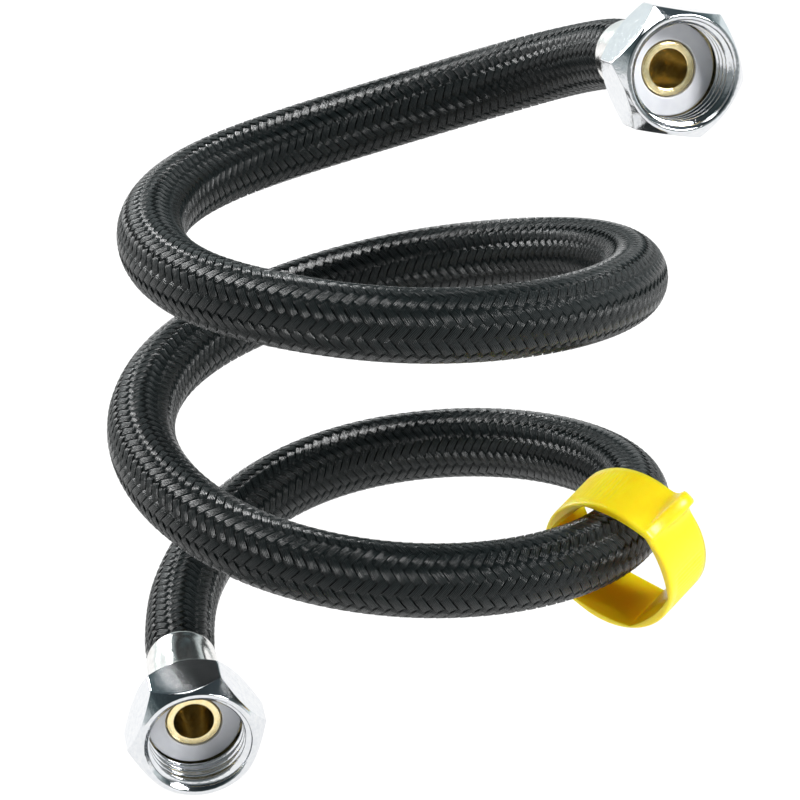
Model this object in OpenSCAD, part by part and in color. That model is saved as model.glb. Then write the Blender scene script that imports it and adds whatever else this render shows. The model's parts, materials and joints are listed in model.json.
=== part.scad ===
// Braided flexible supply line: a nylon-braided rubber hose with a swivel
// nut at each end and a loose grip collar that slips over either nut.
// Millimetres, +Z up. The origin is on the axis of the upper nut, at the
// inner end of its thread. Each fitting is drawn along its own +Z, which
// points out of the nut's mouth, and is then turned into place.

/* [Hose] */
// Outside diameter of the braid
hose_d = 14; // [13:0.5:14]
// Thickness of the braid
braid_t = 1; // [0.8:0.1:1.2]
// Bore of the inner tube
tube_bore_d = 9.6; // [9.5:0.1:9.8]
// Flat sides round each tube
hose_sides = 12; // [8:1:12]

/* [Nuts] */
// Across flats of the hexagon
nut_af = 24; // [23.6:0.1:24.1]
// Length from back to mouth
nut_l = 13; // [13:0.5:15]
// Wall of the thread, at its minor diameter
thread_minor_d = 18.64; // [18.62:0.02:18.66]
// Length of the thread
thread_l = 6.7; // [6:0.1:7]
// Diameter of the countersink at the mouth
mouth_d = 21.4; // [21:0.1:21.6]
// Diameter of the flat ring left at each chamfered end
chamfer_d = 23; // [22.6:0.1:23.4]

/* [Stems, washers and ferrules] */
// Outside diameter of the stem's flange
flange_d = 18.4; // [18.2:0.1:18.5]
// Outside diameter of the stem's nose
nose_d = 10.6; // [10.4:0.1:11]
// Bore of the stem
nose_bore_d = 7.8; // [7.6:0.1:7.9]
// Outside diameter of the tail inside the tube
tail_d = 9.2; // [9:0.1:9.3]
// Bore of the tail's inner end
tail_bore_d = 6.8; // [6.4:0.1:7]
// Outside diameter of the washer
washer_d = 18.4; // [18:0.1:18.5]
// Thickness of the washer
washer_t = 2.2; // [2:0.1:2.4]
// Outside diameter of the ferrule
ferrule_d = 15.6; // [15.4:0.1:15.8]
// Outside diameter of the ferrule's crimped lip
ferrule_lip_d = 14.6; // [14.6:0.1:15]

/* [Grip collar] */
// Outside diameter of the collar's drum
collar_d = 29.6; // [29.4:0.2:30]
// Length of the collar
collar_l = 13; // [12:0.2:13]
// Across flats of the collar's socket
socket_af = 24.4; // [24.3:0.1:24.6]
// Reach of each fin from the collar's axis
fin_reach = 19.4; // [18:0.2:20]
// Thickness of each fin
fin_t = 2.4; // [2:0.1:3]

/* [Hidden] */
$fn = 64;

// Where each fitting sits: [place, azimuth, elevation]. The azimuth turns
// from -Y towards +X, and the elevation is above the horizontal.
UPPER = [[0, 0, 0], 18, 12];
LOWER = [[-92, -44, -119.1], 8.5, -5];
COLLAR = [[-7.7, -19.7, -93.2], -35, -13];

// How far each nut's corners, and the collar's, are turned round its axis
UPPER_TURN = -13;
LOWER_TURN = 10;
COLLAR_TURN = 45;

// Heights along a fitting, from the inner end of the thread
washer_z = -0.3;                        // washer's front face
nose_z = washer_z - 0.2;                // stem's front end
flange_z = washer_z - washer_t;         // flange's front face
flange_t = 1.2;
hose_z = flange_z - flange_t;           // flange's back face, where the hose starts
shoulder_z = hose_z - 0.1;              // nut's inner shoulder
mouth_z = 8;
back_z = mouth_z - nut_l;
ferrule_l = 19.3;
lip_z = hose_z - ferrule_l;

relief_d = thread_minor_d + 0.6;        // groove behind the thread
chamfer_slope = tan(45);
nut_ac = nut_af / cos(30);
nut_back_d = ferrule_d + 0.7;
washer_bore_d = nose_d + 0.4;
ferrule_bore_d = hose_d + 0.1;
tail_z = lip_z + 1.5;
step_z = tail_z + 1.5;                  // where the stem's bore narrows
barb_h = 3;
barb_count = 4;
barb_depth = 0.25;
eps = 0.01;

// Route of the hose. It leaves each fitting straight, at these distances
// behind the thread's end, and it is coiled in between.
STRAIGHT = [-hose_z, 12, 19.5, 27];
// The coil's centre. From 60 degrees on, every 30 degrees: [radius, height].
COIL_AT = [-52.4, 8, -69.5];
COIL_FROM = 60;
COIL_STEP = 30;
COIL = [
    [50, 50], [51, 39], [52, 33], [52, 32], [51, 32], [50, 32],
    [49, 33.5], [49, 32.5], [48, 30.5], [48, 27.5], [49, 23], [50, 17.8],
    [51, 10.4], [52, 4.2], [53, -1.6], [54, -5.2], [54, -9], [54, -12],
    [56, -15], [56, -18], [55, -20], [53, -22], [50, -24], [47, -27],
    [44, -30], [42, -33], [41, -36], [41, -40], [43, -44]
];
// One point between each straight and the coil, from the coil's centre
LEAD_IN = [38, 31, 58];
LEAD_OUT = [-44, -14, -46];

function fitting_axis(f) =
    [sin(f[1]) * cos(f[2]), -cos(f[1]) * cos(f[2]), sin(f[2])];

function coil_point(i) =
    let (a = COIL_FROM + COIL_STEP * i)
    COIL_AT + [COIL[i][0] * cos(a), COIL[i][0] * sin(a), COIL[i][1]];

// Route points between which the collar hangs, and rings from one to the next
FINE_FROM = 24;
FINE_TO = 28;
FINE_STEPS = 4;

last = len(STRAIGHT) - 1;
ROUTE = [
    for (s = STRAIGHT) UPPER[0] - s * fitting_axis(UPPER),
    COIL_AT + LEAD_IN,
    for (i = [0 : len(COIL) - 1]) coil_point(i),
    COIL_AT + LEAD_OUT,
    for (i = [last : -1 : 0]) LOWER[0] - STRAIGHT[i] * fitting_axis(LOWER)
];
ends = len(ROUTE) - 1;

// The route with one mirrored point past each end, so the curve starts and
// stops exactly at the flanges
function control(i) =
    i < 0 ? 2 * ROUTE[0] - ROUTE[1]
    : i > ends ? 2 * ROUTE[ends] - ROUTE[ends - 1]
    : ROUTE[i];

// A cubic B-spline's point and direction at s, counted in route points
function centre(s) =
    let (i = floor(s), t = s - i)
    (pow(1 - t, 3) * control(i - 1) + (3 * pow(t, 3) - 6 * pow(t, 2) + 4) * control(i)
     + (3 * t + 3 * pow(t, 2) - 3 * pow(t, 3) + 1) * control(i + 1)
     + pow(t, 3) * control(i + 2)) / 6;
function along(s) =
    let (i = floor(s), t = s - i,
         d = -pow(1 - t, 2) * control(i - 1) + (3 * pow(t, 2) - 4 * t) * control(i)
             + (1 + 2 * t - 3 * pow(t, 2)) * control(i + 1) + pow(t, 2) * control(i + 2))
    d / norm(d);

// Rings lie at the route points, and closer where the collar hangs
STATIONS = [
    for (i = [0 : ends]) each
        i >= FINE_FROM && i < FINE_TO
        ? [for (k = [0 : FINE_STEPS - 1]) i + k / FINE_STEPS]
        : [i]
];

// Ring of n points round the hose at s
function ring(s, r, n) =
    let (t = along(s),
         side = cross(t, [0, 0, 1]),
         b = side / norm(side),
         u = cross(b, t))
    [for (k = [0 : n - 1])
        let (a = 360 * k / n)
        centre(s) + r * (cos(a) * b + sin(a) * u)];

// A pipe swept along the whole route, as one closed mesh
module pipe(r_out, r_in) {
    n = hose_sides;
    rings = len(STATIONS);
    points = [
        for (s = STATIONS) each ring(s, r_out, n),
        for (s = STATIONS) each ring(s, r_in, n)
    ];
    inner = rings * n;
    faces = [
        for (i = [0 : rings - 2], k = [0 : n - 1])
            let (m = (k + 1) % n, a = i * n + k, b = i * n + m,
                 c = a + n, d = b + n)
            each [[a, b, d], [a, d, c],
                  [inner + a, inner + d, inner + b],
                  [inner + a, inner + c, inner + d]],
        for (k = [0 : n - 1])
            let (m = (k + 1) % n, z = (rings - 1) * n)
            each [[k, inner + k, inner + m], [k, inner + m, m],
                  [z + k, inner + z + m, inner + z + k],
                  [z + k, z + m, inner + z + m]]
    ];
    polyhedron(points, faces);
}

module place(f, turn = 0) {
    translate(f[0]) rotate([90 - f[2], 0, f[1]]) rotate([0, 0, turn]) children();
}

module tube_between(z0, z1, d) {
    translate([0, 0, z0]) cylinder(h = z1 - z0, d = d);
}

module inner_tube() {
    color([0.16, 0.15, 0.15])
        pipe(hose_d / 2 - braid_t, tube_bore_d / 2);
}

module braid_sleeve() {
    color([0.12, 0.13, 0.14])
        pipe(hose_d / 2, hose_d / 2 - braid_t);
}

// Brass core: nose, flange and a tail with shallow barbs
module stem() {
    tail_r = tail_d / 2;
    barb_r = tail_r - barb_depth;
    color([0.85, 0.68, 0.32])
        rotate_extrude()
            polygon([
                [nose_bore_d / 2, nose_z],
                [nose_d / 2, nose_z],
                [nose_d / 2, flange_z],
                [flange_d / 2, flange_z],
                [flange_d / 2, hose_z],
                [tail_r, hose_z],
                for (i = [0 : barb_count - 1])
                    let (z = tail_z + barb_h * (barb_count - i))
                    each [[tail_r, z], [barb_r, z - eps], [tail_r, z - barb_h + eps]],
                [tail_r, tail_z],
                                [tail_bore_d / 2, tail_z],
                [tail_bore_d / 2, step_z],
                [nose_bore_d / 2, step_z]
            ]);
}

// Flat sealing ring round the stem's nose
module washer() {
    color([0.78, 0.80, 0.84])
        difference() {
            tube_between(flange_z, washer_z, washer_d);
            tube_between(flange_z - 1, washer_z + 1, washer_bore_d);
        }
}

// Thin sleeve crimped round the hose's end
module ferrule() {
    color([0.80, 0.80, 0.79])
        rotate_extrude()
            polygon([
                [ferrule_bore_d / 2, hose_z],
                [ferrule_d / 2, hose_z],
                [ferrule_d / 2, back_z - 2],
                [ferrule_lip_d / 2, lip_z + 1],
                [ferrule_lip_d / 2, lip_z],
                [ferrule_bore_d / 2, lip_z]
            ]);
}

// Swivel nut: a hexagon chamfered at both ends. Its back wall pulls on the
// stem's flange, and its thread ends at a groove in front of the flange.
module nut() {
    r = nut_ac / 2 + 0.5;
    drop = (r - chamfer_d / 2) * chamfer_slope;
    color([0.83, 0.84, 0.86])
        difference() {
            intersection() {
                translate([0, 0, back_z])
                    linear_extrude(nut_l)
                        circle(d = nut_ac, $fn = 6);
                rotate_extrude()
                    polygon([
                        [0, back_z], [chamfer_d / 2, back_z], [r, back_z + drop],
                        [r, mouth_z - drop], [chamfer_d / 2, mouth_z], [0, mouth_z]
                    ]);
            }
            rotate_extrude()
                polygon([
                    [0, back_z - 1], [nut_back_d / 2, back_z - 1],
                    [nut_back_d / 2, shoulder_z], [relief_d / 2, shoulder_z],
                    [relief_d / 2, 0], [thread_minor_d / 2, 0],
                    [thread_minor_d / 2, thread_l], [mouth_d / 2, mouth_z],
                    [mouth_d / 2, mouth_z + 1], [0, mouth_z + 1]
                ]);
        }
}

// A fin along the drum, low at the front and rounded at the back
module fin() {
    tip = 2.5;
    rotate([90, 0, 0])
        translate([0, 0, -fin_t / 2])
            linear_extrude(fin_t) {
                polygon([
                    [collar_d / 2 - 1, -collar_l / 2],
                    [fin_reach - tip, -collar_l / 2],
                    [fin_reach, tip - collar_l / 2],
                    [collar_d / 2, collar_l / 2],
                    [collar_d / 2 - 1, collar_l / 2]
                ]);
                translate([fin_reach - tip, tip - collar_l / 2])
                    circle(r = tip);
            }
}

// Grip collar: a round drum with a hexagonal socket and two fins. A corner
// of the socket points at each fin.
module grip_collar() {
    color([1.0, 0.87, 0.05]) {
        difference() {
            tube_between(-collar_l / 2, collar_l / 2, collar_d);
            translate([0, 0, -collar_l])
                linear_extrude(2 * collar_l)
                    circle(d = socket_af / cos(30), $fn = 6);
        }
        for (a = [0, 180])
            rotate([0, 0, a]) fin();
    }
}

inner_tube();
braid_sleeve();
place(UPPER) stem();  // upper_stem
place(LOWER) stem();  // lower_stem
place(UPPER) washer();  // upper_washer
place(LOWER) washer();  // lower_washer
place(UPPER) ferrule();  // upper_ferrule
place(LOWER) ferrule();  // lower_ferrule
place(UPPER, UPPER_TURN) nut();  // upper_nut
place(LOWER, LOWER_TURN) nut();  // lower_nut
place(COLLAR, COLLAR_TURN) grip_collar();
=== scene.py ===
"""A braided supply line: an open coil of nylon-braided hose with a chromed swivel
nut at each end and a loose yellow grip collar. Lengths are in metres."""

import json
import math

import bmesh
import bpy
import numpy as np
from mathutils import Matrix, Vector


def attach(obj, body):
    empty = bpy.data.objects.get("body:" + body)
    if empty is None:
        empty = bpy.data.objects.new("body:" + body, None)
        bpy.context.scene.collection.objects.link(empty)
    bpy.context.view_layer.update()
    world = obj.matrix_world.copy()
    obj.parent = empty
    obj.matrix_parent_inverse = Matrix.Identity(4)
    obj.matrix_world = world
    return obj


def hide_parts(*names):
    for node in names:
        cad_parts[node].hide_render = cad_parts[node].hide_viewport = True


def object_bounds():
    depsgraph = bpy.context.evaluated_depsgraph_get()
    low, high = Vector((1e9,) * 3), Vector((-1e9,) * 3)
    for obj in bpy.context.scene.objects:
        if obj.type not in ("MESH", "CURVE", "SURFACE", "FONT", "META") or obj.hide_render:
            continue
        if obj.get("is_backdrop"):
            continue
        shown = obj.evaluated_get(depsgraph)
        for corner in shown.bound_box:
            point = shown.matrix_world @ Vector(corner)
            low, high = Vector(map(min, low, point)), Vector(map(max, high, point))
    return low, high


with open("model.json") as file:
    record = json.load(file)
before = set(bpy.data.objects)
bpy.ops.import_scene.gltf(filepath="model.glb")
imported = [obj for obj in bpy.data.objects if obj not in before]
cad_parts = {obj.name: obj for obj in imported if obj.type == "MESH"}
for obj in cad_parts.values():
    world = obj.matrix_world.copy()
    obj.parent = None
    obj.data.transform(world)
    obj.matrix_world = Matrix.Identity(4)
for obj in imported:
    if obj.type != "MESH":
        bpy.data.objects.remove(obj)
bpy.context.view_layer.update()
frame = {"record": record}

MM = 0.001
record = frame["record"]
mounts = {m["name"]: m for m in record["mounts"]}
joints = {j["name"]: j for j in record["behaviour"]["joints"]}


# ---------------------------------------------------------------- camera

VIEW_ELEVATION = math.radians(24)
VIEW_DISTANCE = 954 * MM
LENS = 213.9  # for Blender's sensor of 36
LOOK_AT = Vector((-51.94, 8, -73.47)) * MM


def add_camera():
    camera = bpy.data.objects.new("camera", bpy.data.cameras.new("camera"))
    camera.data.lens = LENS
    back = Vector((0, -math.cos(VIEW_ELEVATION), math.sin(VIEW_ELEVATION)))
    camera.location = LOOK_AT + back * VIEW_DISTANCE
    camera.rotation_euler = (-back).to_track_quat("-Z", "Y").to_euler()
    camera.data.clip_start = 0.01
    bpy.context.collection.objects.link(camera)
    bpy.context.scene.camera = camera


add_camera()


# ---------------------------------------------------------------- mesh helpers


def axis_matrix(place, axis, turn=0.0):
    """Puts local +Z along axis at place, as the CAD model places its fittings."""
    x, y, z = axis
    tilt = math.pi / 2 - math.asin(z)
    spin = math.atan2(x, -y)
    return (
        Matrix.Translation(Vector(place))
        @ Matrix.Rotation(spin, 4, "Z")
        @ Matrix.Rotation(tilt, 4, "X")
        @ Matrix.Rotation(turn, 4, "Z")
    )


def new_piece(name, points, faces, material, place=None, closed=True):
    """A smooth mesh piece. Its own coordinates, in mm, stay in the attribute local."""
    mesh = bpy.data.meshes.new(name)
    mesh.from_pydata(np.asarray(points).tolist(), [], [tuple(f) for f in faces])
    bm = bmesh.new()
    bm.from_mesh(mesh)
    bmesh.ops.remove_doubles(bm, verts=bm.verts, dist=0.002 * MM)
    bmesh.ops.dissolve_degenerate(bm, edges=bm.edges, dist=0.001 * MM)
    if closed:
        bmesh.ops.recalc_face_normals(bm, faces=bm.faces)
    bm.to_mesh(mesh)
    bm.free()
    mesh.shade_smooth()
    local = mesh.attributes.new("local", "FLOAT_VECTOR", "POINT")
    flat = np.zeros(len(mesh.vertices) * 3)
    mesh.vertices.foreach_get("co", flat)
    local.data.foreach_set("vector", flat / MM)
    if place is not None:
        mesh.transform(place)
    mesh.materials.append(material)
    piece = bpy.data.objects.new(name, mesh)
    bpy.context.collection.objects.link(piece)
    return piece


def keep_flats_flat(piece):
    weighted = piece.modifiers.new("flats", "WEIGHTED_NORMAL")
    weighted.weight = 100
    weighted.mode = "FACE_AREA_WITH_ANGLE"


def grid_faces(rows, columns, wrap_rows=False, wrap_columns=True):
    """Quads of a grid of points stored row by row."""
    faces = []
    for i in range(rows if wrap_rows else rows - 1):
        for k in range(columns if wrap_columns else columns - 1):
            a = i * columns + k
            b = i * columns + (k + 1) % columns
            c = ((i + 1) % rows) * columns + (k + 1) % columns
            d = ((i + 1) % rows) * columns + k
            faces.append((a, b, c, d))
    return faces


def rounded(outline, radius, steps=3):
    """A closed outline with each corner cut to a short curve of about that radius."""
    corners = np.array(outline, float)
    result = []
    for before, corner, after in zip(np.roll(corners, 1, 0), corners, np.roll(corners, -1, 0)):
        cut_in = min(radius, 0.45 * np.linalg.norm(before - corner))
        cut_out = min(radius, 0.45 * np.linalg.norm(after - corner))
        start = corner + (before - corner) / np.linalg.norm(before - corner) * cut_in
        end = corner + (after - corner) / np.linalg.norm(after - corner) * cut_out
        for t in np.linspace(0, 1, steps + 1):
            result.append((1 - t) ** 2 * start + 2 * t * (1 - t) * corner + t * t * end)
    return np.array(result)


def lathe(outline, segments=128, radius_at=None):
    """Points and faces of a closed outline of (radius, height), turned round Z.
    radius_at(radius, height, angles) may change the radii."""
    angles = np.linspace(0, 2 * np.pi, segments, endpoint=False)
    rows = []
    for r, z in outline:
        radii = np.full(segments, r) if radius_at is None else radius_at(r, z, angles)
        rows.append(np.stack([radii * np.cos(angles), radii * np.sin(angles), np.full(segments, z)], 1))
    return np.concatenate(rows), grid_faces(len(rows), segments, wrap_rows=True)


def smooth_step(x):
    t = np.clip(x, 0, 1)
    return t * t * (3 - 2 * t)


# ---------------------------------------------------------------- materials


class Nodes:
    """Short names for building one material's nodes."""

    def __init__(self, name, **values):
        self.material = bpy.data.materials.new(name)
        self.material.use_nodes = True
        self.tree = self.material.node_tree
        self.shader = self.tree.nodes["Principled BSDF"]
        for socket, value in values.items():
            self.shader.inputs[socket.replace("_", " ")].default_value = value

    def add(self, kind, *inputs, **settings):
        node = self.tree.nodes.new(kind)
        for key, value in settings.items():
            setattr(node, key, value)
        for i, value in enumerate(inputs):
            if value is not None:
                self.feed(node.inputs[i], value)
        return node

    def feed(self, socket, value):
        if isinstance(value, bpy.types.NodeSocket):
            self.tree.links.new(value, socket)
        else:
            socket.default_value = value

    def math(self, operation, a, b=0.0, clamp=False):
        return self.add("ShaderNodeMath", a, b, operation=operation, use_clamp=clamp).outputs[0]

    def local(self):
        node = self.add("ShaderNodeAttribute", attribute_name="local")
        return node.outputs["Vector"]

    def noise(self, vector, scale, detail=3.0, roughness=0.5, stretch=(1, 1, 1)):
        if stretch != (1, 1, 1):
            mapping = self.add("ShaderNodeMapping", vector)
            mapping.inputs["Scale"].default_value = stretch
            vector = mapping.outputs[0]
        node = self.add("ShaderNodeTexNoise", vector)
        node.inputs["Scale"].default_value = scale
        node.inputs["Detail"].default_value = detail
        node.inputs["Roughness"].default_value = roughness
        return node.outputs["Fac"]

    def ramp(self, value, *stops):
        """Each stop is (position, colour or level)."""
        node = self.add("ShaderNodeValToRGB", value)
        while len(node.color_ramp.elements) < len(stops):
            node.color_ramp.elements.new(1)
        for element, (at, colour) in zip(node.color_ramp.elements, stops):
            element.position = at
            level = colour if isinstance(colour, tuple) else (colour,) * 3
            element.color = (*level, 1)
        return node.outputs["Color"]

    def span(self, value, low, high, to_low, to_high):
        node = self.add("ShaderNodeMapRange", value, low, high, to_low, to_high)
        return node.outputs[0]

    def bump(self, height, distance, strength=1.0, normal=None):
        node = self.add("ShaderNodeBump")
        self.feed(node.inputs["Height"], height)
        node.inputs["Distance"].default_value = distance
        node.inputs["Strength"].default_value = strength
        if normal is not None:
            self.feed(node.inputs["Normal"], normal)
        return node.outputs["Normal"]

    def set(self, **links):
        for socket, value in links.items():
            self.feed(self.shader.inputs[socket.replace("_", " ")], value)
        return self.material


FILAMENTS = 6


def braid_material():
    """Black nylon filaments: each bundle shows fine ridges along its length, with painted shade in the
    grooves and a painted highlight on the crests.
    """
    n = Nodes("black_nylon", Anisotropic=0.8, Anisotropic_Rotation=0.25)
    n.shader.inputs["Specular IOR Level"].default_value = 0.32
    yarn = n.add("ShaderNodeUVMap", uv_map="yarn").outputs[0]
    split = n.add("ShaderNodeSeparateXYZ", yarn)
    length, across = split.outputs[0], split.outputs[1]
    wander = n.noise(yarn, 0.35, detail=2, stretch=(1, 6, 1))
    shifted = n.math("ADD", across, n.math("MULTIPLY", n.math("SUBTRACT", wander, 0.5), 0.10))
    wave = n.math("SINE", n.math("MULTIPLY", shifted, 2 * math.pi * FILAMENTS))
    ridge = n.math("MULTIPLY", n.math("ADD", wave, 1), 0.5)
    strands = n.noise(yarn, 1.0, detail=2, stretch=(0.25, 26, 1))
    height = n.math("ADD", n.math("MULTIPLY", ridge, 1.0), n.math("MULTIPLY", strands, 0.3))
    # Colour from the ridges is painted light: darker in the grooves between filaments as painted shade,
    # paler on the crests as a painted highlight. The strand noise adds a random tone.
    groove_shade_and_strand_tone = n.math("ADD", n.math("MULTIPLY", ridge, 0.55), n.math("MULTIPLY", strands, 0.6))
    dark, middle, pale = (0.002, 0.003, 0.003), (0.006, 0.009, 0.009), (0.018, 0.024, 0.025)
    colour = n.ramp(groove_shade_and_strand_tone, (0.25, dark), (0.6, middle), (0.95, pale))
    rough = n.span(strands, 0.2, 0.8, 0.20, 0.33)
    tangent = n.add("ShaderNodeTangent", direction_type="UV_MAP", uv_map="yarn").outputs[0]
    return n.set(Base_Color=colour, Roughness=rough, Normal=n.bump(height, 0.13 * MM), Tangent=tangent)


def rubber_material():
    n = Nodes("black_rubber", Roughness=0.7)
    grain = n.noise(n.local(), 1.5, detail=5)
    colour = n.ramp(grain, (0.3, 0.006), (0.7, 0.014))
    return n.set(Base_Color=colour, Normal=n.bump(grain, 0.05 * MM))


def chrome_material():
    """Polished plate with a faint mottle left by the forging under it."""
    n = Nodes("chrome", Metallic=1.0, Roughness=0.08)
    at = n.local()
    mottle = n.noise(at, 0.9, detail=6, roughness=0.6)
    fine = n.noise(at, 6, detail=4, roughness=0.7)
    colour = n.ramp(mottle, (0.3, (0.70, 0.72, 0.75)), (0.7, (0.80, 0.81, 0.82)))
    rough = n.span(fine, 0.35, 0.7, 0.04, 0.13)
    height = n.math("ADD", n.math("MULTIPLY", mottle, 1.0), n.math("MULTIPLY", fine, 0.12))
    return n.set(Base_Color=colour, Roughness=rough, Normal=n.bump(height, 0.04 * MM))


def steel_material():
    """Pressed stainless steel, drawn along its length."""
    n = Nodes("stainless_steel", Metallic=1.0, Roughness=0.16)
    at = n.local()
    cloudy = n.noise(at, 0.5, detail=4)
    drawn = n.noise(at, 3, detail=4, stretch=(3, 3, 0.25))
    colour = n.ramp(cloudy, (0.3, (0.72, 0.71, 0.69)), (0.7, (0.84, 0.83, 0.81)))
    rough = n.span(drawn, 0.3, 0.7, 0.10, 0.22)
    return n.set(Base_Color=colour, Roughness=rough, Normal=n.bump(drawn, 0.012 * MM))


def brass_material():
    """Turned brass, with fine rings round its axis."""
    n = Nodes("brass", Metallic=1.0, Roughness=0.2)
    at = n.local()
    split = n.add("ShaderNodeSeparateXYZ", at)
    x, y, z = split.outputs
    radius = n.math("SQRT", n.math("ADD", n.math("MULTIPLY", x, x), n.math("MULTIPLY", y, y)))
    feed = n.math("SINE", n.math("MULTIPLY", n.math("ADD", radius, z), 2 * math.pi * 5))
    stain = n.noise(at, 0.8, detail=5)
    colour = n.ramp(stain, (0.3, (0.98, 0.78, 0.38)), (0.7, (1.0, 0.89, 0.55)))
    rough = n.span(stain, 0.3, 0.7, 0.14, 0.26)
    return n.set(Base_Color=colour, Roughness=rough, Normal=n.bump(feed, 0.006 * MM))


def washer_material():
    """Smooth moulded silicone, pale grey with a little blue."""
    n = Nodes("pale_silicone", Roughness=0.38, Subsurface_Weight=0.25, Subsurface_Scale=0.6 * MM)
    n.shader.inputs["Subsurface Radius"].default_value = (1.0, 1.0, 1.1)
    at = n.local()
    cloudy = n.noise(at, 0.35, detail=3)
    grain = n.noise(at, 9, detail=3)
    colour = n.ramp(cloudy, (0.3, (0.70, 0.71, 0.75)), (0.7, (0.77, 0.78, 0.81)))
    rough = n.span(grain, 0.3, 0.7, 0.32, 0.46)
    return n.set(Base_Color=colour, Roughness=rough, Normal=n.bump(grain, 0.008 * MM))


def plastic_material():
    """Glossy moulded polyethylene with a faint flow mottle."""
    n = Nodes("yellow_plastic", Roughness=0.3, Subsurface_Weight=0.7, Subsurface_Scale=3 * MM)
    n.shader.inputs["Subsurface Radius"].default_value = (1.0, 0.55, 0.05)
    at = n.local()
    flow = n.noise(at, 0.16, detail=3)
    grain = n.noise(at, 5, detail=4, roughness=0.6)
    colour = n.ramp(flow, (0.3, (1.0, 0.68, 0.004)), (0.7, (1.0, 0.75, 0.008)))
    rough = n.span(grain, 0.3, 0.7, 0.24, 0.42)
    return n.set(Base_Color=colour, Roughness=rough, Normal=n.bump(grain, 0.02 * MM))


BRAID = braid_material()
RUBBER = rubber_material()
CHROME = chrome_material()
STEEL = steel_material()
BRASS = brass_material()
SILICONE = washer_material()
PLASTIC = plastic_material()


# ---------------------------------------------------------------- the hose

UPPER = Vector(mounts["upper_port"]["pos_m"])
UPPER_AXIS = Vector(mounts["upper_port"]["axis"]).normalized()
LOWER = Vector(mounts["lower_port"]["pos_m"])
LOWER_AXIS = Vector(mounts["lower_port"]["axis"]).normalized()

# Route of the hose. It leaves each fitting straight, at these distances behind
# the thread's end, and it is coiled in between.
STRAIGHT = [3.7 * MM, 12 * MM, 19.5 * MM, 27 * MM]
# The coil's centre. From 60 degrees on, every 30 degrees: radius and height in mm.
COIL_AT = Vector((-52.4, 8, -69.5)) * MM
COIL_FROM = 60
COIL_STEP = 30
COIL = [
    (50, 50), (51, 39), (52, 33), (52, 32), (51, 32), (50, 32),
    (49, 33.5), (49, 32.5), (48, 30.5), (48, 27.5), (49, 23), (50, 17.8),
    (51, 10.4), (52, 4.2), (53, -1.6), (54, -5.2), (54, -9), (54, -12),
    (56, -15), (56, -18), (55, -20), (53, -22), (50, -24), (47, -27),
    (44, -30), (42, -33), (41, -36), (41, -40), (43, -44),
]
# One point between each straight and the coil, from the coil's centre
LEAD_IN = Vector((38, 31, 58)) * MM
LEAD_OUT = Vector((-44, -14, -46)) * MM

HOSE_R = 7 * MM
TUBE_R = 5.95 * MM
BORE_R = 4.8 * MM
FERRULE_LENGTH = 19.3 * MM
TUCK = 2.5 * MM  # how far the braid runs on inside each ferrule


def route():
    points = [UPPER - s * UPPER_AXIS for s in STRAIGHT]
    points.append(COIL_AT + LEAD_IN)
    for i, (radius, height) in enumerate(COIL):
        a = math.radians(COIL_FROM + COIL_STEP * i)
        points.append(COIL_AT + Vector((radius * math.cos(a), radius * math.sin(a), height)) * MM)
    points.append(COIL_AT + LEAD_OUT)
    points += [LOWER - s * LOWER_AXIS for s in reversed(STRAIGHT)]
    return np.array(points)


def b_spline(points, per_span=80):
    """A uniform cubic B-spline that starts and stops at its first and last points."""
    before = 2 * points[:1] - points[1:2]
    after = 2 * points[-1:] - points[-2:-1]
    p = np.concatenate([before, points, after])
    t = np.linspace(0, 1, per_span, endpoint=False)[:, None]
    weights = [(1 - t) ** 3, 3 * t**3 - 6 * t**2 + 4, -3 * t**3 + 3 * t**2 + 3 * t + 1, t**3]
    spans = [
        sum(w * p[i + k] for k, w in enumerate(weights)) / 6
        for i in range(len(p) - 3)
    ]
    return np.concatenate(spans + [points[-1:]])


LINE = b_spline(route())
ARC = np.concatenate([[0], np.cumsum(np.linalg.norm(np.diff(LINE, axis=0), axis=1))])
LENGTH = ARC[-1]


def unit(v):
    return v / np.linalg.norm(v, axis=-1, keepdims=True)


def at_arc(values, s):
    return np.stack([np.interp(s, ARC, values[:, k]) for k in range(3)], -1)


TANGENT = unit(np.gradient(LINE, ARC, axis=0))
ACROSS = unit(np.cross(TANGENT, [0, 0, 1]))
UPWARD = np.cross(ACROSS, TANGENT)


# The coil's bends press the hose a little taller than wide
TALLER, NARROWER = 0.045, 0.02
ROUND_END = 35 * MM


def on_tube(s, angle, radius):
    """Points at arc length s, turned by angle round the centreline, at that radius."""
    oval = smooth_step((np.minimum(s, LENGTH - s) - ROUND_END) / ROUND_END)[..., None]
    sideways = np.cos(angle)[..., None] * at_arc(ACROSS, s) * (1 - NARROWER * oval)
    upwards = np.sin(angle)[..., None] * at_arc(UPWARD, s) * (1 + TALLER * oval)
    return at_arc(LINE, s) + radius[..., None] * (sideways + upwards)


# The braid: two families of flat bundles, 2 over and 2 under
BUNDLES = 14
LEAD = 31.2 * MM
BUNDLE_WIDTH = 1.81 * MM
BUNDLE_THICK = 0.46 * MM
OVER_R = HOSE_R - BUNDLE_THICK / 2
UNDER_R = OVER_R - 0.52 * MM
SHOULDER = 0.43  # of the width, from the middle to where the side slopes
NECK = 0.28 * MM  # how much the braid is squeezed where a ferrule grips it
NECK_LENGTH = 7 * MM
# Where the rings of a bundle lie in one over-and-under period, and their levels
PHASES = [(0, 0), (0.09, 1), (0.41, 1), (0.5, 0), (0.75, -1)]


def bundle_arcs(index, family):
    """Arc lengths and levels of the rings of one bundle."""
    crossing = LEAD / (2 * BUNDLES)
    period = 4 * crossing
    first = -family * (0.5 + 2 * index) * crossing
    start, end = FERRULE_LENGTH - TUCK, LENGTH - FERRULE_LENGTH + TUCK
    arcs, levels = [], []
    for m in range(math.floor((start - first) / period), math.ceil((end - first) / period) + 1):
        for phase, level in PHASES:
            s = first + (m + phase) * period
            if start <= s <= end:
                arcs.append(s)
                levels.append(level)
    return np.array(arcs), np.array(levels, float)


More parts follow.
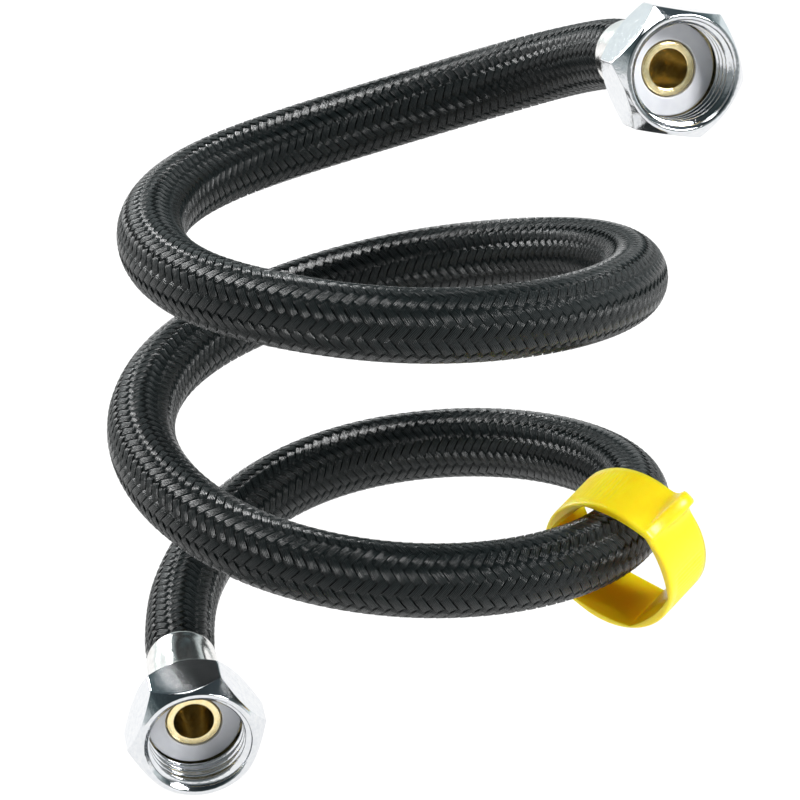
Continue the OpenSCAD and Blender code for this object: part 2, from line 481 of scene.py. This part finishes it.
def bundle(index, family):
    """Points, four to a ring, and the arc lengths of one bundle. family is 1 or -1."""
    arcs, levels = bundle_arcs(index, family)
    slope = math.atan2(2 * math.pi * HOSE_R, LEAD)
    near_end = np.minimum(arcs - FERRULE_LENGTH, LENGTH - FERRULE_LENGTH - arcs)
    squeeze = NECK * (1 - smooth_step(near_end / NECK_LENGTH))
    middle = (OVER_R + UNDER_R) / 2 + levels * (OVER_R - UNDER_R) / 2 - squeeze
    turn = 2 * math.pi * (index / BUNDLES + family * arcs / LEAD)
    sides = [(-0.5, -0.5), (-SHOULDER, 0.5), (SHOULDER, 0.5), (0.5, -0.5)]
    rings = []
    for side, lift in sides:
        off = side * BUNDLE_WIDTH
        s = np.clip(arcs - family * off * math.sin(slope), 0, LENGTH)
        angle = turn + off * math.cos(slope) / HOSE_R
        rings.append(on_tube(s, angle, middle + lift * BUNDLE_THICK))
    return np.stack(rings, 1), arcs / math.cos(slope)


def add_braid():
    """All the bundles as one mesh. Its map yarn is (mm along, share across)."""
    points, faces, along, across = [], [], [], []
    sides = [0, 0.5 - SHOULDER, 0.5 + SHOULDER, 1]
    count = 0
    for family in (1, -1):
        for index in range(BUNDLES):
            rings, lengths = bundle(index, family)
            rows = len(rings)
            points.append(rings.reshape(-1, 3))
            for i in range(rows - 1):
                for k in range(4):
                    m = (k + 1) % 4
                    a, b = count + 4 * i + k, count + 4 * i + m
                    faces.append((a, b, b + 4, a + 4) if family > 0 else (a, a + 4, b + 4, b))
                    u0, u1 = lengths[i] / MM, lengths[i + 1] / MM
                    v0, v1 = sides[k], sides[m]
                    corners = [(u0, v0), (u0, v1), (u1, v1), (u1, v0)]
                    if family < 0:
                        corners = [corners[0], corners[3], corners[2], corners[1]]
                    for u, v in corners:
                        along.append(u + 977 * index + 13 * family)
                        across.append(v)
            for i in (0, rows - 1):
                cap = [count + 4 * i + k for k in range(4)]
                outward = (i == 0) == (family > 0)
                faces.append(tuple(reversed(cap)) if outward else tuple(cap))
                along += [lengths[i] / MM] * 4
                across += [sides[c % 4] for c in range(4)]
            count += 4 * rows
    mesh = bpy.data.meshes.new("hose_braid")
    mesh.from_pydata(np.concatenate(points).tolist(), [], faces)
    mesh.shade_smooth()
    uv = mesh.uv_layers.new(name="yarn")
    uv.data.foreach_set("uv", np.stack([along, across], 1).ravel())
    mesh.materials.append(BRAID)
    braid = bpy.data.objects.new("hose_braid", mesh)
    bpy.context.collection.objects.link(braid)
    return braid


def add_tube():
    """The rubber tube under the braid, from flange to flange."""
    sides, step = 32, 1.5 * MM
    s = np.linspace(0, LENGTH, int(LENGTH / step))
    angles = np.linspace(0, 2 * np.pi, sides, endpoint=False)
    arcs, turns = np.meshgrid(s, angles, indexing="ij")
    outside = on_tube(arcs, turns, np.full(arcs.shape, TUBE_R))
    inside = on_tube(arcs, turns, np.full(arcs.shape, BORE_R))[::-1]
    points = np.concatenate([outside, inside]).reshape(-1, 3)
    return new_piece("hose_tube", points, grid_faces(2 * len(s), sides, wrap_rows=True), RUBBER)


braid = add_braid()
tube = add_tube()
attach(braid, "hose")
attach(tube, "hose")
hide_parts("braid_sleeve")
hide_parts("inner_tube")


# ---------------------------------------------------------------- the fittings

# Heights along a fitting in mm, from the inner end of the thread
WASHER_Z = -0.3
WASHER_T = 2.2
NOSE_Z = -0.5
FLANGE_Z = WASHER_Z - WASHER_T
HOSE_Z = FLANGE_Z - 1.2
SHOULDER_Z = HOSE_Z - 0.1
MOUTH_Z = 8
BACK_Z = -5
LIP_Z = HOSE_Z - 19.3
TAIL_Z = LIP_Z + 1.5

NUT_AF = 24.0
CHAMFER_R = 11.5
CHAMFER_SLOPE = math.tan(math.radians(56))
CREST_R = 9.32
ROOT_R = 10.48
PITCH = 1.814


def hexagon(across_flats, corner_r, per_flat=8, per_corner=4):
    """Points round a hexagon with rounded corners, from the corner at angle 0."""
    apothem = across_flats / 2
    points = []
    for side in range(6):
        corner = math.radians(60 * side)
        centre = (apothem - corner_r) / math.cos(math.radians(30))
        arc = np.radians(np.linspace(-30, 30, per_corner + 1)) + corner
        for a in arc:
            points.append((
                centre * math.cos(corner) + corner_r * math.cos(a),
                centre * math.sin(corner) + corner_r * math.sin(a),
            ))
        last = np.array(points[-1])
        after = corner + math.radians(60)
        following = np.array((
            centre * math.cos(after) + corner_r * math.cos(after - math.radians(30)),
            centre * math.sin(after) + corner_r * math.sin(after - math.radians(30)),
        ))
        for t in np.linspace(0, 1, per_flat + 1)[1:-1]:
            points.append(tuple(last + t * (following - last)))
    return np.array(points)


def thread_radius(z, angle):
    """Radius of the internal thread at a height, with rounded crests and roots."""
    turn = (z / PITCH - angle / (2 * np.pi)) % 1
    wave = 0.5 + 0.5 * np.cos(2 * np.pi * turn)
    return CREST_R + (ROOT_R - CREST_R) * smooth_step(1.25 * wave - 0.125)


def nut_mesh():
    """A chamfered hexagon with a real thread, as columns of points round the axis."""
    outline = hexagon(NUT_AF, 0.5)
    angles = np.unwrap(np.arctan2(outline[:, 1], outline[:, 0]))
    radii = np.hypot(outline[:, 0], outline[:, 1])
    # The first column comes again one turn on, where the thread is a pitch higher
    angles = np.append(angles, angles[0] + 2 * np.pi)
    radii = np.append(radii, radii[0])
    drop = (radii - CHAMFER_R) * CHAMFER_SLOPE
    soft = 0.12
    one = np.ones(len(radii))
    rows = []

    def row(radius, z):
        rows.append((radius * one, z * one))

    # Outside, from the back's hole to the mouth
    row(8.1, BACK_Z + 0.15)
    row(8.25, BACK_Z)
    row(CHAMFER_R - soft, BACK_Z)
    row(CHAMFER_R + soft, BACK_Z + soft * CHAMFER_SLOPE)
    row(radii - soft * 0.6, BACK_Z + drop - soft * 0.35)
    row(radii, BACK_Z + drop + soft)
    for share in (0.25, 0.5, 0.75):
        row(radii, BACK_Z + drop + share * (MOUTH_Z - BACK_Z - 2 * drop))
    row(radii, MOUTH_Z - drop - soft)
    row(radii - soft * 0.6, MOUTH_Z - drop + soft * 0.35)
    row(CHAMFER_R + soft, MOUTH_Z - soft * CHAMFER_SLOPE)
    row(CHAMFER_R - soft, MOUTH_Z)
    # The mouth's flat ring and its countersink
    mouth_r = 10.75
    row(mouth_r + soft, MOUTH_Z)
    row(mouth_r - 0.03, MOUTH_Z - soft)
    # Inside, down the thread. Each row follows the thread's own lead.
    per_turn = 12
    turns = (MOUTH_Z + 1) / PITCH + 1
    for i in range(int(turns * per_turn)):
        z = MOUTH_Z - soft - 0.05 - (i / per_turn - angles / (2 * np.pi)) * PITCH
        z = np.clip(z, 0.2, MOUTH_Z - soft - 0.05)
        cone = mouth_r - (MOUTH_Z - z) * 0.9
        rows.append((np.maximum(thread_radius(z, angles), cone), z))
    # The groove behind the thread, the shoulder and the back's hole
    groove_r = ROOT_R + 0.1
    row(groove_r, 0.1)
    row(groove_r, SHOULDER_Z)
    row(8.2, SHOULDER_Z)
    row(8.1, SHOULDER_Z - 0.1)
    directions = np.stack([np.cos(angles), np.sin(angles)], 1)
    points = np.concatenate([np.column_stack([r[:, None] * directions, z]) for r, z in rows])
    return points * MM, grid_faces(len(rows), len(radii), wrap_rows=True, wrap_columns=False)


def stem_outline():
    return rounded([
        (3.9, NOSE_Z), (5.3, NOSE_Z), (5.3, FLANGE_Z), (9.2, FLANGE_Z), (9.2, HOSE_Z),
        (4.6, HOSE_Z), (4.6, TAIL_Z + 0.6), (4.3, TAIL_Z), (3.4, TAIL_Z),
        (3.4, TAIL_Z + 1.5), (3.9, TAIL_Z + 1.5),
    ], 0.2)


def washer_outline():
    return rounded([(5.6, FLANGE_Z), (9.2, FLANGE_Z), (9.2, WASHER_Z), (5.6, WASHER_Z)], 0.3, 5)


CRIMPS = 8


def ferrule_mesh():
    """A pressed sleeve: wide at the nut, crimped with soft flutes, tight at the lip."""
    outer = [
        (7.8, HOSE_Z), (7.8, BACK_Z), (7.79, BACK_Z - 1), (7.74, BACK_Z - 2.5),
        (7.62, BACK_Z - 4.5), (7.48, BACK_Z - 6.5), (7.36, BACK_Z - 8.5), (7.24, BACK_Z - 11),
        (7.12, BACK_Z - 13.5), (7.02, BACK_Z - 15.6), (7.0, BACK_Z - 16.8), (7.04, BACK_Z - 17.4),
        (7.0, LIP_Z + 0.1), (6.9, LIP_Z),
    ]
    inner = [(6.78, LIP_Z), (6.7, LIP_Z + 0.2), (6.72, LIP_Z + 3), (7.05, LIP_Z + 9), (7.05, HOSE_Z)]
    outline = np.array(outer + inner)

    def crimped(r, z, angles):
        middle, reach = BACK_Z - 9.5, 7
        window = smooth_step(1.3 * (1 - abs(z - middle) / reach)) if r > 7.06 else 0
        flute = (0.5 + 0.5 * np.cos(CRIMPS * angles)) ** 1.6
        return r - 0.3 * window * flute

    dense = []
    for a, b in zip(outline, np.roll(outline, -1, 0)):
        steps = max(1, int(np.linalg.norm(b - a) / 0.6))
        dense += [a + (b - a) * k / steps for k in range(steps)]
    points, faces = lathe(dense, 128, crimped)
    return points * MM, faces


def lathed(name, outline, material, place):
    points, faces = lathe(outline)
    piece = new_piece(name, points * MM, faces, material, place)
    keep_flats_flat(piece)
    return piece


def add_fitting(end, port, nut_turn):
    """The four pieces of one end: nut, stem, washer and ferrule."""
    straight = axis_matrix(port["pos_m"], port["axis"])
    turned = axis_matrix(port["pos_m"], port["axis"], math.radians(nut_turn))
    nut = new_piece(f"{end}_nut_chromed", *nut_mesh(), CHROME, turned)
    keep_flats_flat(nut)
    ferrule = new_piece(f"{end}_ferrule_crimped", *ferrule_mesh(), STEEL, straight)
    stem = lathed(f"{end}_stem_turned", stem_outline(), BRASS, straight)
    washer = lathed(f"{end}_washer_moulded", washer_outline(), SILICONE, straight)
    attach(nut, f"{end}_swivel")
    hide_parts(f"{end}_nut")
    for piece, node, slot in (
        (ferrule, "ferrule", "ferrule"), (stem, "stem", "brass"), (washer, "washer", "washer"),
    ):
        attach(piece, "hose")
        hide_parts(f"{end}_{node}")
    return [nut, ferrule, stem, washer]


add_fitting("upper", mounts["upper_port"], -13)
lower_fitting = add_fitting("lower", mounts["lower_port"], 10)


# ---------------------------------------------------------------- the grip collar

COLLAR_R = 14.8
COLLAR_L = 13.0
SOCKET_AF = 24.4
FIN_REACH = 19.4
RIB_PITCH = 1.0
RIB_DEPTH = 0.17
FUNNEL = 0.5  # how far the socket opens from a hexagon towards a circle at its front
FUNNEL_DEPTH = 2.6


def fin_height(z):
    """Height of a fin above the drum: a slope from the front up to a round tab."""
    tip = 2.5
    back = -COLLAR_L / 2
    top = FIN_REACH - COLLAR_R
    rise = (z - (back + tip)) / (COLLAR_L / 2 - back - tip)
    slope = 0.45 + (top - 0.45) * (1 - smooth_step(rise)) ** 1.3
    inside = np.clip(1 - ((back + tip - z) / tip) ** 2, 0, 1)
    tab = top - tip + tip * np.sqrt(inside)
    return np.where(z < back + tip, tab, slope)


# Across a fin: distance from its middle in mm, and share of its height
FIN_SIDE = [
    (4.2, 0), (3.2, 0.03), (2.4, 0.11), (1.8, 0.26), (1.4, 0.5), (1.25, 0.75),
    (1.1, 0.92), (0.75, 0.985), (0, 1),
]


def collar_columns():
    """For each column round the drum: its angle, its share of a fin's height and
    the depth of the ribs there."""
    fin_half = FIN_SIDE[0][0] / COLLAR_R
    fin = [(-u / COLLAR_R, share) for u, share in FIN_SIDE]
    fin += [(u / COLLAR_R, share) for u, share in FIN_SIDE[-2::-1]]
    columns = []
    for start in (0, math.pi):
        columns += [(start + a, share, 0) for a, share in fin]
        plain = math.pi - 2 * fin_half
        ribs = int(plain * COLLAR_R / RIB_PITCH)
        for k in range(1, 4 * ribs):
            part = k / (4 * ribs)
            depth = RIB_DEPTH * smooth_step((part - 0.12) / 0.1) * smooth_step((0.88 - part) / 0.1)
            columns.append((start + fin_half + part * plain, 0, depth * (k % 4 in (1, 2))))
    return columns


def add_collar():
    joint = joints["collar_turn"]
    place = axis_matrix(joint["pos_m"], joint["axis"], math.radians(45))
    half, soft = COLLAR_L / 2, 0.9
    columns = collar_columns()
    angles = np.array([c[0] for c in columns])
    share = np.array([c[1] for c in columns])
    ribs = np.array([c[2] for c in columns])
    flat = (angles + np.pi / 6) % (np.pi / 3) - np.pi / 6
    socket = SOCKET_AF / 2 / np.cos(np.pi / 6 - np.abs(flat))
    one = np.ones(len(angles))
    rows = []

    def row(radius, z):
        rows.append((radius * one, z * one))

    # Outside, from the back's edge to the front's
    for t in np.linspace(0, 1, 6):
        a = t * np.pi / 2
        z = -half + soft * 0.5 * (1 - math.sin(a))
        inset = 0.5 * soft * (1 - math.sin(a))
        row(COLLAR_R - inset + share * fin_height(np.array(z)), z)
    for z in np.linspace(-half + 0.5 * soft, half - soft, 24)[1:-1]:
        inside = smooth_step((z + half - 1.2) / 0.8) * smooth_step((half - 1.8 - z) / 0.8)
        row(COLLAR_R - ribs * inside + share * fin_height(np.array(z)), z)
    for t in np.linspace(0, 1, 7):
        a = t * np.pi / 2
        z = half - soft * (1 - math.sin(a))
        row(COLLAR_R - 0.55 * (1 - math.cos(a)) + share * fin_height(np.array(z)) * math.cos(a) ** 0.5, z)
    # The front face and the socket, which opens towards the front
    corner = SOCKET_AF / 2 / math.cos(math.pi / 6)
    opening = socket + FUNNEL * (corner - socket)
    row(opening + 0.25 * (COLLAR_R - 0.55 - opening), half)
    for depth in (0.08, 0.25, 0.5, 0.9, 1.4, 2.0, 2.6):
        row(socket + (opening - socket) * (1 - smooth_step(depth / FUNNEL_DEPTH)), half - depth)
    for z in np.linspace(half - 3.6, -half + 0.4, 7):
        row(socket, z)
    row(socket, -half + 0.12)
    row(socket + 0.12, -half)
    directions = np.stack([np.cos(angles), np.sin(angles)], 1)
    points = np.concatenate([np.column_stack([r[:, None] * directions, z]) for r, z in rows])
    faces = grid_faces(len(rows), len(angles), wrap_rows=True)
    collar = new_piece("grip_collar_ribbed", points * MM, faces, PLASTIC, place)
    keep_flats_flat(collar)
    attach(collar, "collar")
    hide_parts("grip_collar")


add_collar()


# ---------------------------------------------------------------- studio

low, high = (np.array(c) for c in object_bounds())
centre = Vector((low + high) / 2)


def add_floor():
    half = 4
    z = low[2]
    corners = [(-half, -half, z), (half, -half, z), (half, half, z), (-half, half, z)]
    mesh = bpy.data.meshes.new("floor")
    mesh.from_pydata(corners, [], [(0, 1, 2, 3)])
    n = Nodes("floor_white", Roughness=0.9)
    n.shader.inputs["Base Color"].default_value = (0.05, 0.05, 0.05, 1)
    n.shader.inputs["Emission Color"].default_value = (1, 1, 1, 1)
    n.shader.inputs["Emission Strength"].default_value = 1.0
    mesh.materials.append(n.material)
    floor = bpy.data.objects.new("floor", mesh)
    bpy.context.collection.objects.link(floor)
    floor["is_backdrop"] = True


def softbox(name, direction, distance, width, height, radiance):
    """A rectangular lamp in a direction from the object's middle, facing it."""
    lamp = bpy.data.lights.new(name, "AREA")
    lamp.shape = "RECTANGLE"
    lamp.size = width
    lamp.size_y = height
    lamp.energy = radiance * math.pi * width * height
    place = bpy.data.objects.new(name, lamp)
    offset = Vector(direction).normalized()
    place.location = centre + offset * distance
    place.rotation_euler = (-offset).to_track_quat("-Z", "Y").to_euler()
    bpy.context.collection.objects.link(place)


def add_world():
    """White near the horizon, dim blue-grey above, and darker on the front side."""
    world = bpy.data.worlds.new("studio")
    world.use_nodes = True
    tree = world.node_tree
    where = tree.nodes.new("ShaderNodeTexCoord")
    split = tree.nodes.new("ShaderNodeSeparateXYZ")
    ramp = tree.nodes.new("ShaderNodeValToRGB")
    tree.links.new(where.outputs["Generated"], split.inputs[0])
    tree.links.new(split.outputs["Z"], ramp.inputs[0])
    front = tree.nodes.new("ShaderNodeMapRange")
    for i, value in enumerate((-0.6, 0.3, 0.3, 1.0), start=1):
        front.inputs[i].default_value = value
    tree.links.new(split.outputs["Y"], front.inputs[0])
    tree.links.new(front.outputs[0], tree.nodes["Background"].inputs["Strength"])
    tree.links.new(ramp.outputs["Color"], tree.nodes["Background"].inputs["Color"])
    stops = [(0.22, (0.88, 0.96, 0.97)), (0.40, (0.13, 0.18, 0.19)), (0.75, (0.06, 0.08, 0.09))]
    ramp.color_ramp.elements.new(0.5)
    for element, (at, colour) in zip(ramp.color_ramp.elements, stops):
        element.position = at
        element.color = (*colour, 1)
    bpy.context.scene.world = world


add_floor()
add_world()
softbox("key", (0.633, -0.48, 0.606), 1.1, 0.34, 0.34, 34.0)
softbox("rim", (-0.6, 0.7, 0.42), 1.2, 0.3, 0.5, 26.0)
softbox("top", (-0.25, 0.1, 1.0), 1.1, 0.6, 0.4, 7.0)
bpy.context.scene.view_settings.view_transform = "Standard"
